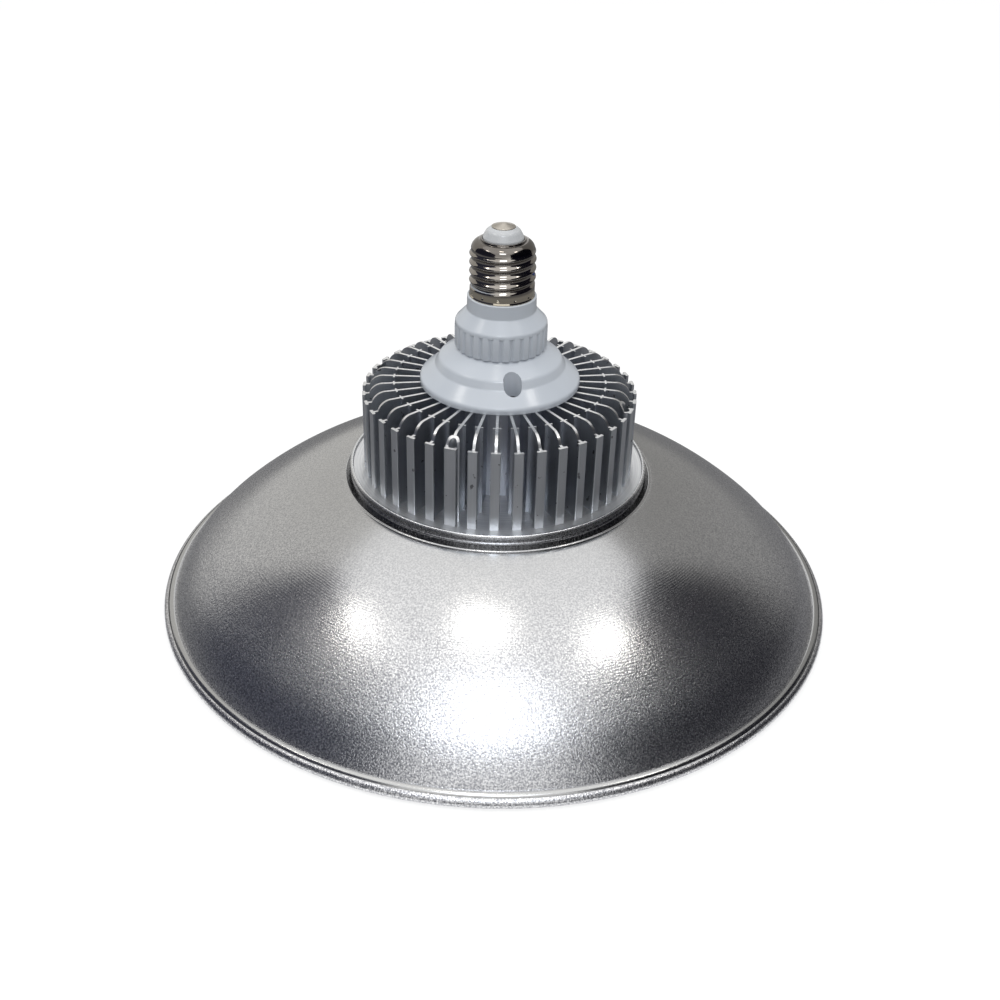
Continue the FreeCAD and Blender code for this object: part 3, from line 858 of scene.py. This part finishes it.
def spun_aluminium():
    """Satin spun sheet: smooth on top, and a bright grain, partly painted glints, and close marks that grow
    towards the rim.
    """
    material, tree, shader = surface("spun_aluminium", 1.0)
    where = place(tree)
    bead = maths(tree, "MULTIPLY", by_distance(tree, BEAD_PLAIN_IN, BEAD_PLAIN_IN + 1.0, 0.0, 1.0),
                 by_distance(tree, BEAD_PLAIN_OUT, BEAD_PLAIN_OUT + 0.3, 1.0, 0.0))
    outwards = maths(tree, "MULTIPLY", by_distance(tree, GRAIN_START, GRAIN_END, 0.22, 1.0),
                     maths(tree, "SUBTRACT", 1.0, bead))
    coarse = maths(tree, "MULTIPLY", outwards, by_distance(tree, COARSE_START, COARSE_END, 0.10, 1.0))
    grain = noise(tree, where, 1500.0, 1.5, 0.6)
    specks = noise(tree, where, 2700.0, 1.0)
    slow = noise(tree, where, 16.0, 3.0)
    wander = maths(tree, "MULTIPLY", noise(tree, where, 60.0), SPIN_WANDER * MM)
    strayed = maths(tree, "ADD", axis_distance(tree), wander)
    marks = maths(tree, "SINE", maths(tree, "MULTIPLY", strayed, 2 * pi / (SPIN_PITCH * MM)))
    marked = maths(tree, "MULTIPLY", by_distance(tree, MARKS_START, MARKS_FULL, 0.1, 1.0),
                   by_distance(tree, MARKS_FADE, MARKS_END, 1.0, 0.3))
    # strong grain contrast: partly the sheet's real grain, partly painted glints of the lamps in its specks
    grain_and_painted_glints = blend(tree, spread(tree, grain, 0.37, 0.64, 0.0, 1.0), (0.32, 0.325, 0.355), (0.90, 0.90, 0.91))
    colour = blend(tree, outwards, (0.54, 0.54, 0.535), grain_and_painted_glints)
    colour = blend(tree, spread(tree, slow, 0.3, 0.7, 0.0, 0.25), colour, (0.52, 0.52, 0.53))
    roughness = maths(tree, "MULTIPLY_ADD", coarse, 0.08, spread(tree, specks, 0.3, 0.7, 0.16, 0.26))
    normal = bump(tree, maths(tree, "MULTIPLY", grain, coarse), 1.0, 0.14)
    normal = bump(tree, maths(tree, "MULTIPLY", marks, marked), 0.8, 0.006, normal)
    finish_with(tree, shader, colour, roughness, normal)
    return material


def turned_aluminium():
    """Lathe-turned plate: satin turning marks on its floor, a lip and floor painted light and a side painted
    dark as painted shade.
    """
    material, tree, shader = surface("turned_aluminium", 1.0)
    lines = noise(tree, ring_place(tree, 2600.0, 0.8), 1.0, 3.0)
    grain = noise(tree, place(tree), 1500.0, 2.0)
    upper = by_height(tree, LIP_TOP - 1.15, LIP_TOP - 0.75, 0.0, 1.0)
    inside = by_distance(tree, LIP_INNER_R - 0.3, LIP_INNER_R, 1.0, 0.0)
    # painted light and shade: the lip and floor get a lit tone, the side under the lip a shaded one
    bright = blend(tree, spread(tree, lines, 0.3, 0.7, 0.0, 1.0), (0.70, 0.71, 0.725), (0.86, 0.865, 0.87))
    painted_shaded_side = blend(tree, spread(tree, grain, 0.35, 0.65, 0.0, 1.0), (0.20, 0.20, 0.21), (0.40, 0.405, 0.42))
    colour = blend(tree, maths(tree, "MAXIMUM", upper, inside), painted_shaded_side, bright)
    roughness = maths(tree, "MULTIPLY_ADD", inside, 0.20, spread(tree, grain, 0.3, 0.7, 0.22, 0.32))
    finish_with(tree, shader, colour, roughness, bump(tree, lines, 0.6, 0.02))
    return material


def extruded_aluminium():
    """Extrusion: blue-grey sides with die lines along the axis and scuffs, painted darker towards the hub as
    painted shade between the fins, and bright turned top edges.
    """
    material, tree, shader = surface("extruded_aluminium", 1.0)
    where = place(tree)
    across = add(tree, "VectorMath", {0: where, 1: (2600.0, 2600.0, 18.0)}, operation="MULTIPLY").outputs[0]
    die_lines = noise(tree, across, 1.0, 2.0)
    turning = noise(tree, ring_place(tree, 1900.0, 1.0), 1.0, 2.0)
    slow = noise(tree, where, 70.0, 3.0)
    # painted shade: the fin sides darken towards the hub, deep between the fins
    depth = by_distance(tree, HUB_R, FIN_OUTER_R - 0.9, 0.0, 1.0)
    side = blend(tree, depth, (0.52, 0.55, 0.62), (0.60, 0.625, 0.66))
    side = blend(tree, spread(tree, die_lines, 0.3, 0.75, 0.0, 0.35), side, (0.72, 0.74, 0.77))
    scuffs = spread(tree, noise(tree, where, 330.0, 2.0), 0.70, 0.74, 0.0, 0.75)
    side = blend(tree, scuffs, side, (0.10, 0.10, 0.11))
    edge = blend(tree, spread(tree, turning, 0.3, 0.7, 0.0, 1.0), (0.66, 0.665, 0.67), (0.84, 0.84, 0.83))
    up = facing_up(tree)
    roughness = maths(tree, "MULTIPLY_ADD", up, -0.06, spread(tree, slow, 0.3, 0.7, 0.30, 0.42))
    normal = bump(tree, turning, 0.25, 0.01, bump(tree, die_lines, 0.4, 0.02))
    finish_with(tree, shader, blend(tree, up, side, edge), roughness, normal)
    return material


def nickel_shell():
    """Mirror-bright nickel plate, a little warm, with faint drawing marks round it; its domed top is painted
    dark as a painted reflection.
    """
    material, tree, shader = surface("nickel_shell", 1.0)
    lines = noise(tree, ring_place(tree, 1500.0, 1.4), 1.0, 2.0)
    slow = noise(tree, place(tree), 160.0, 3.0)
    colour = blend(tree, spread(tree, slow, 0.3, 0.7, 0.0, 1.0), (0.30, 0.275, 0.245), (0.42, 0.39, 0.355))
    band = by_height(tree, SKIRT_BOTTOM + 2.8, SKIRT_BOTTOM + 3.8, 1.0, 0.0)
    colour = blend(tree, band, colour, (0.66, 0.60, 0.49))
    # painted reflection: the domed top is painted dark, as the dark surroundings it shows
    dome = by_height(tree, THREAD_END - 0.6, THREAD_END + 0.4, 0.0, 0.6)
    colour = blend(tree, dome, colour, (0.10, 0.09, 0.085))
    roughness = spread(tree, lines, 0.3, 0.7, 0.06, 0.14)
    finish_with(tree, shader, colour, roughness, bump(tree, lines, 0.3, 0.006))
    return material


def frosted_lens():
    """Opal sheet with a fine frosted face."""
    material, tree, shader = surface("frosted_lens", 0.0, Subsurface_Weight=0.25, Subsurface_Scale=0.002)
    where = place(tree)
    frost = noise(tree, where, 2200.0, 3.0)
    slow = noise(tree, where, 30.0, 2.0)
    colour = blend(tree, spread(tree, slow, 0.3, 0.7, 0.0, 1.0), (0.76, 0.77, 0.775), (0.83, 0.835, 0.84))
    finish_with(tree, shader, colour, spread(tree, frost, 0.3, 0.7, 0.42, 0.6), bump(tree, frost, 0.5, 0.012))
    return material


def plain_metal(name, light, dark, roughness_range):
    """Dull plated metal with a mottled tone."""
    material, tree, shader = surface(name, 1.0)
    where = place(tree)
    fine = noise(tree, where, 1800.0, 3.0)
    slow = noise(tree, where, 300.0, 3.0)
    colour = blend(tree, spread(tree, slow, 0.3, 0.7, 0.0, 1.0), dark, light)
    roughness = spread(tree, fine, 0.3, 0.7, *roughness_range)
    finish_with(tree, shader, colour, roughness, bump(tree, fine, 0.4, 0.01))
    return material


def moulded(name, light, dark, roughness_range, texture_mm, gloss=0.5):
    """A moulded surface: slight changes of tone over a fine texture."""
    material, tree, shader = surface(name, 0.0, Specular_IOR_Level=gloss)
    where = place(tree)
    fine = noise(tree, where, 1400.0, 3.0)
    slow = noise(tree, where, 45.0, 3.0)
    colour = blend(tree, spread(tree, slow, 0.3, 0.7, 0.0, 1.0), dark, light)
    roughness = spread(tree, fine, 0.3, 0.7, *roughness_range)
    finish_with(tree, shader, colour, roughness, bump(tree, fine, 0.5, texture_mm))
    return material


PLAIN_METALS = {          # light tone, dark tone, roughness range
    "contact_metal": ((0.56, 0.52, 0.46), (0.44, 0.41, 0.36), (0.30, 0.44)),
    # screw_steel is painted nearly black, as painted shade at the foot of the housing's bores
    "screw_steel": ((0.10, 0.10, 0.105), (0.05, 0.05, 0.055), (0.32, 0.45)),
}
MOULDINGS = {             # light tone, dark tone, roughness range, texture in millimetres, gloss if not 0.5
    "grey_plastic": ((0.59, 0.63, 0.685), (0.56, 0.60, 0.655), (0.15, 0.23), 0.004),
    "white_insulator": ((0.63, 0.645, 0.66), (0.56, 0.575, 0.59), (0.2, 0.3), 0.006),
    "silicone_pad": ((0.40, 0.43, 0.47), (0.34, 0.37, 0.41), (0.6, 0.8), 0.02, 0.3),
    "white_board": ((0.80, 0.80, 0.79), (0.74, 0.74, 0.73), (0.3, 0.45), 0.006),
    "led_phosphor": ((0.86, 0.66, 0.14), (0.76, 0.56, 0.10), (0.3, 0.5), 0.01),
    "green_board": ((0.03, 0.18, 0.08), (0.02, 0.13, 0.06), (0.25, 0.4), 0.008),
    "ferrite": ((0.07, 0.07, 0.075), (0.04, 0.04, 0.045), (0.5, 0.75), 0.03),
    "black_sleeve": ((0.035, 0.035, 0.04), (0.02, 0.02, 0.025), (0.25, 0.4), 0.008),
    "yellow_film": ((0.62, 0.42, 0.05), (0.52, 0.34, 0.03), (0.25, 0.4), 0.01),
    "wire_red": ((0.48, 0.03, 0.02), (0.38, 0.02, 0.015), (0.3, 0.45), 0.008),
    "wire_blue": ((0.03, 0.08, 0.38), (0.02, 0.06, 0.30), (0.3, 0.45), 0.008),
}
MATERIALS = {
    "spun_aluminium": spun_aluminium(),
    "turned_aluminium": turned_aluminium(),
    "extruded_aluminium": extruded_aluminium(),
    "nickel_shell": nickel_shell(),
    "frosted_lens": frosted_lens(),
    **{name: plain_metal(name, *look) for name, look in PLAIN_METALS.items()},
    **{name: moulded(name, *look) for name, look in MOULDINGS.items()},
}


def paint(obj, material):
    """Gives an object one material."""
    if obj.data.materials:
        for index in range(len(obj.data.materials)):
            obj.data.materials[index] = material
    else:
        obj.data.materials.append(material)


# ---------------------------------------------------------------- studio
FILL_LOW, FILL_HIGH = 0.03, 1.18     # what matt surfaces get from low down and from overhead
FILL_START, FILL_END = 0.08, 0.85    # heights on the sky, 0 to 1, between which that grows
FLOOR_HALF = 6.0
FLOOR_GLOW = 0.68
TABLE_IN, TABLE_OUT, TABLE_LIFT = 0.150, 1.3, 0.0005
TABLE_STEPS = 48
TABLE_RADIANCE = (0.20, 0.20, 0.205)
COOL, WARM = (0.88, 0.93, 1.0), (1.0, 0.965, 0.90)
LAMP_AIM = Vector((0.0, 0.0, 0.05))
LAMPS = (                 # name, direction to it, distance, width, depth, watts, colour
    ("softbox", (0.0, -0.62, 0.78), 1.5, 0.46, 0.38, 3.4, COOL),
    ("spot_left", (-0.61, -0.09, 0.79), 1.7, 0.40, 0.17, 1.95, WARM),
    ("spot_middle", (-0.05, -0.16, 0.99), 1.7, 0.27, 0.17, 1.35, WARM),
    ("spot_right", (0.50, -0.14, 0.85), 1.7, 0.24, 0.17, 1.20, WARM),
)
PANELS = (                # name, start and end on the floor, the height at each, radiance
    ("left_flag", (-0.50, -0.95), (-1.0, 0.42), (0.85, 1.25), (0.036, 0.039, 0.062)),
    ("right_flag", (0.50, -0.95), (1.0, 0.56), (0.85, 1.45), (0.006, 0.006, 0.013)),
    ("back_left_panel", (-1.0, 0.42), (-0.2, 1.2), (1.25, 1.2), (0.66, 0.65, 0.625)),
    ("back_right_panel", (0.2, 1.2), (1.0, 0.56), (1.3, 1.45), (0.35, 0.345, 0.335)),
)
CAMERA_PLACE = (0.0064, -0.4690, 0.3252)
CAMERA_PAN, CAMERA_DOWN, CAMERA_ROLL = 0.61, 31.21, 1.55   # degrees
CAMERA_LENS, CAMERA_SENSOR = 45.36, 36.0                   # millimetres


def reflected_only(obj):
    """Lets only reflections show an object."""
    for kind in ("camera", "diffuse", "transmission", "volume_scatter", "shadow"):
        setattr(obj, "visible_" + kind, False)


def stage_sheet(name, corners, material):
    """One flat sheet of the studio."""
    mesh = bpy.data.meshes.new(name)
    mesh.from_pydata(corners, [], [tuple(range(len(corners)))])
    sheet = link(name, mesh)
    paint(sheet, material)
    return sheet


def seen_rays(tree):
    """1 for camera, glossy and transmission rays, and 0 for all others."""
    path = add(tree, "LightPath", {}).outputs
    seen = maths(tree, "MAXIMUM", path["Is Camera Ray"], path["Is Glossy Ray"])
    return maths(tree, "MAXIMUM", seen, path["Is Transmission Ray"])


def white_world():
    """A white surrounding that gives matt surfaces a softer light than it shows."""
    world = bpy.data.worlds.new("white_studio")
    world.use_nodes = True
    tree = world.node_tree
    tree.nodes.clear()
    height = parts_of(tree, add(tree, "TexCoord", {}).outputs["Generated"])["Z"]
    fill = spread(tree, height, FILL_START, FILL_END, FILL_LOW, FILL_HIGH)
    strength = maths(tree, "MAXIMUM", fill, seen_rays(tree))
    background = add(tree, "Background", {"Color": (1.0, 1.0, 1.0, 1.0), "Strength": strength}).outputs[0]
    add(tree, "OutputWorld", {"Surface": background})
    bpy.context.scene.world = world


def floor():
    """A pale floor that keeps a soft shadow and runs into the white."""
    material, tree, shader = surface("studio_floor", 0.0, Roughness=0.9, Specular_IOR_Level=0.0)
    tone = noise(tree, place(tree), 3.0, 2.0)
    colour = blend(tree, tone, (0.34, 0.34, 0.34), (0.36, 0.36, 0.36))
    tree.links.new(colour, shader.inputs["Base Color"])
    strength = maths(tree, "MULTIPLY", seen_rays(tree), FLOOR_GLOW)
    glow = add(tree, "Emission", {"Color": (1.0, 1.0, 1.0, 1.0), "Strength": strength}).outputs[0]
    both = add(tree, "AddShader", {0: shader.outputs[0], 1: glow}).outputs[0]
    tree.links.new(both, tree.nodes["Material Output"].inputs["Surface"])
    h = FLOOR_HALF
    stage_sheet("studio_floor", [(-h, -h, 0), (h, -h, 0), (h, h, 0), (-h, h, 0)], material)


def glow_material(name, radiance):
    """A plain glow, for what only shows in reflections."""
    material = bpy.data.materials.new(name)
    material.use_nodes = True
    tree = material.node_tree
    tree.nodes.clear()
    glow = add(tree, "Emission", {"Color": (*radiance, 1.0), "Strength": 1.0}).outputs[0]
    add(tree, "OutputMaterial", {"Surface": glow})
    return material


def panels():
    """The dark flags and grey panels that the metal reflects."""
    for name, start, end, heights, radiance in PANELS:
        corners = [(*start, 0), (*end, 0), (*end, heights[1]), (*start, heights[0])]
        reflected_only(stage_sheet(name, corners, glow_material(name, radiance)))


def table():
    """The grey table round the light, as the metal reflects it."""
    turns = [2 * pi * i / TABLE_STEPS for i in range(TABLE_STEPS + 1)]
    inner = [(TABLE_IN * cos(a), TABLE_IN * sin(a), TABLE_LIFT) for a in turns]
    outer = [(TABLE_OUT * cos(a), TABLE_OUT * sin(a), TABLE_LIFT) for a in turns]
    reflected_only(stage_sheet("table", inner + outer[::-1], glow_material("table", TABLE_RADIANCE)))


def lamps():
    """A front softbox and three ceiling lights, all aimed at the object."""
    for name, direction, distance, width, depth, watts, colour in LAMPS:
        data = bpy.data.lights.new(name, "AREA")
        data.shape = "RECTANGLE"
        data.size = width
        data.size_y = depth
        data.energy = watts
        data.color = colour
        lamp = link(name, data)
        lamp.location = LAMP_AIM + Vector(direction).normalized() * distance
        lamp.rotation_euler = Vector(direction).to_track_quat("Z", "Y").to_euler()


def camera():
    """A camera that looks down on the light from the front."""
    data = bpy.data.cameras.new("camera")
    data.lens = CAMERA_LENS
    data.sensor_width = CAMERA_SENSOR
    data.clip_start = 0.01
    obj = link("camera", data)
    pan = Matrix.Rotation(radians(CAMERA_PAN), 4, "Z")
    pitch = Matrix.Rotation(radians(90 - CAMERA_DOWN), 4, "X")
    roll = Matrix.Rotation(radians(CAMERA_ROLL), 4, "Z")
    obj.matrix_world = Matrix.Translation(CAMERA_PLACE) @ pan @ pitch @ roll
    bpy.context.scene.camera = obj


# ---------------------------------------------------------------- the whole light
def dress():
    """Makes every piece and gives pieces and CAD nodes their materials."""
    made = [reflector_shade(), base_plate(), heat_sink(), screw_shell(), cap_insulator(), centre_contact()]
    made += [cap_housing(), housing_screws(), clamp_screws(), lens()]
    for obj in made:
        paint(obj, MATERIALS[obj["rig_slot"]])
    for row in frame["record"]["subparts"]:
        paint(frame["nodes"][row["node"]], MATERIALS[row["material_slot"]])


camera()
white_world()
floor()
panels()
table()
lamps()
dress()

bpy.context.scene.view_settings.view_transform = "Standard"
